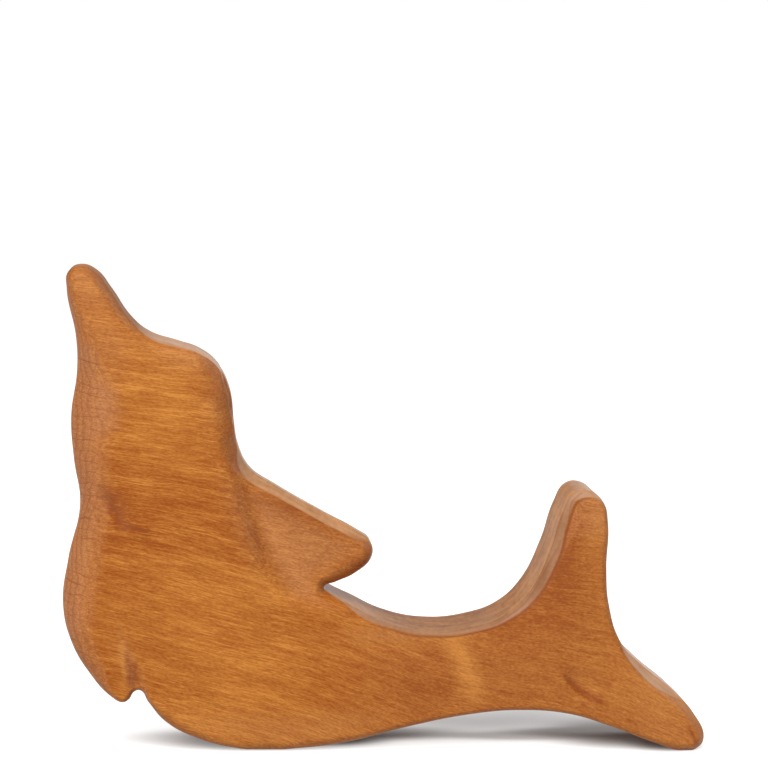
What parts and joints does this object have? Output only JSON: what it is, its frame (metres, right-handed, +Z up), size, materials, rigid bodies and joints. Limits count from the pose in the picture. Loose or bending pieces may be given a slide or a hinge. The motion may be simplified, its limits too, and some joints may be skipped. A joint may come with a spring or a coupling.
{
  "type": "dolphin figurine",
  "caption": "Leaping dolphin in profile, sawn from one thick wooden board, with hand-rounded edges and a satin oil finish; stands on its belly and lower fluke.",
  "frame": {"origin": "centre of the bounding box in plan, at the height of the surface the figurine stands on", "axes": "+X from the beak towards the tail, +Y through the board's thickness, away from the face that the picture shows, +Z up"},
  "size_m": [0.1502, 0.024, 0.1117],
  "materials": {
    "oiled_wood": "reddish brown cherry-like wood with figured grain, sanded smooth, satin oil"
  },
  "bodies": {
    "root": {"dolphin_body": "oiled_wood"}
  },
  "joints": []
}
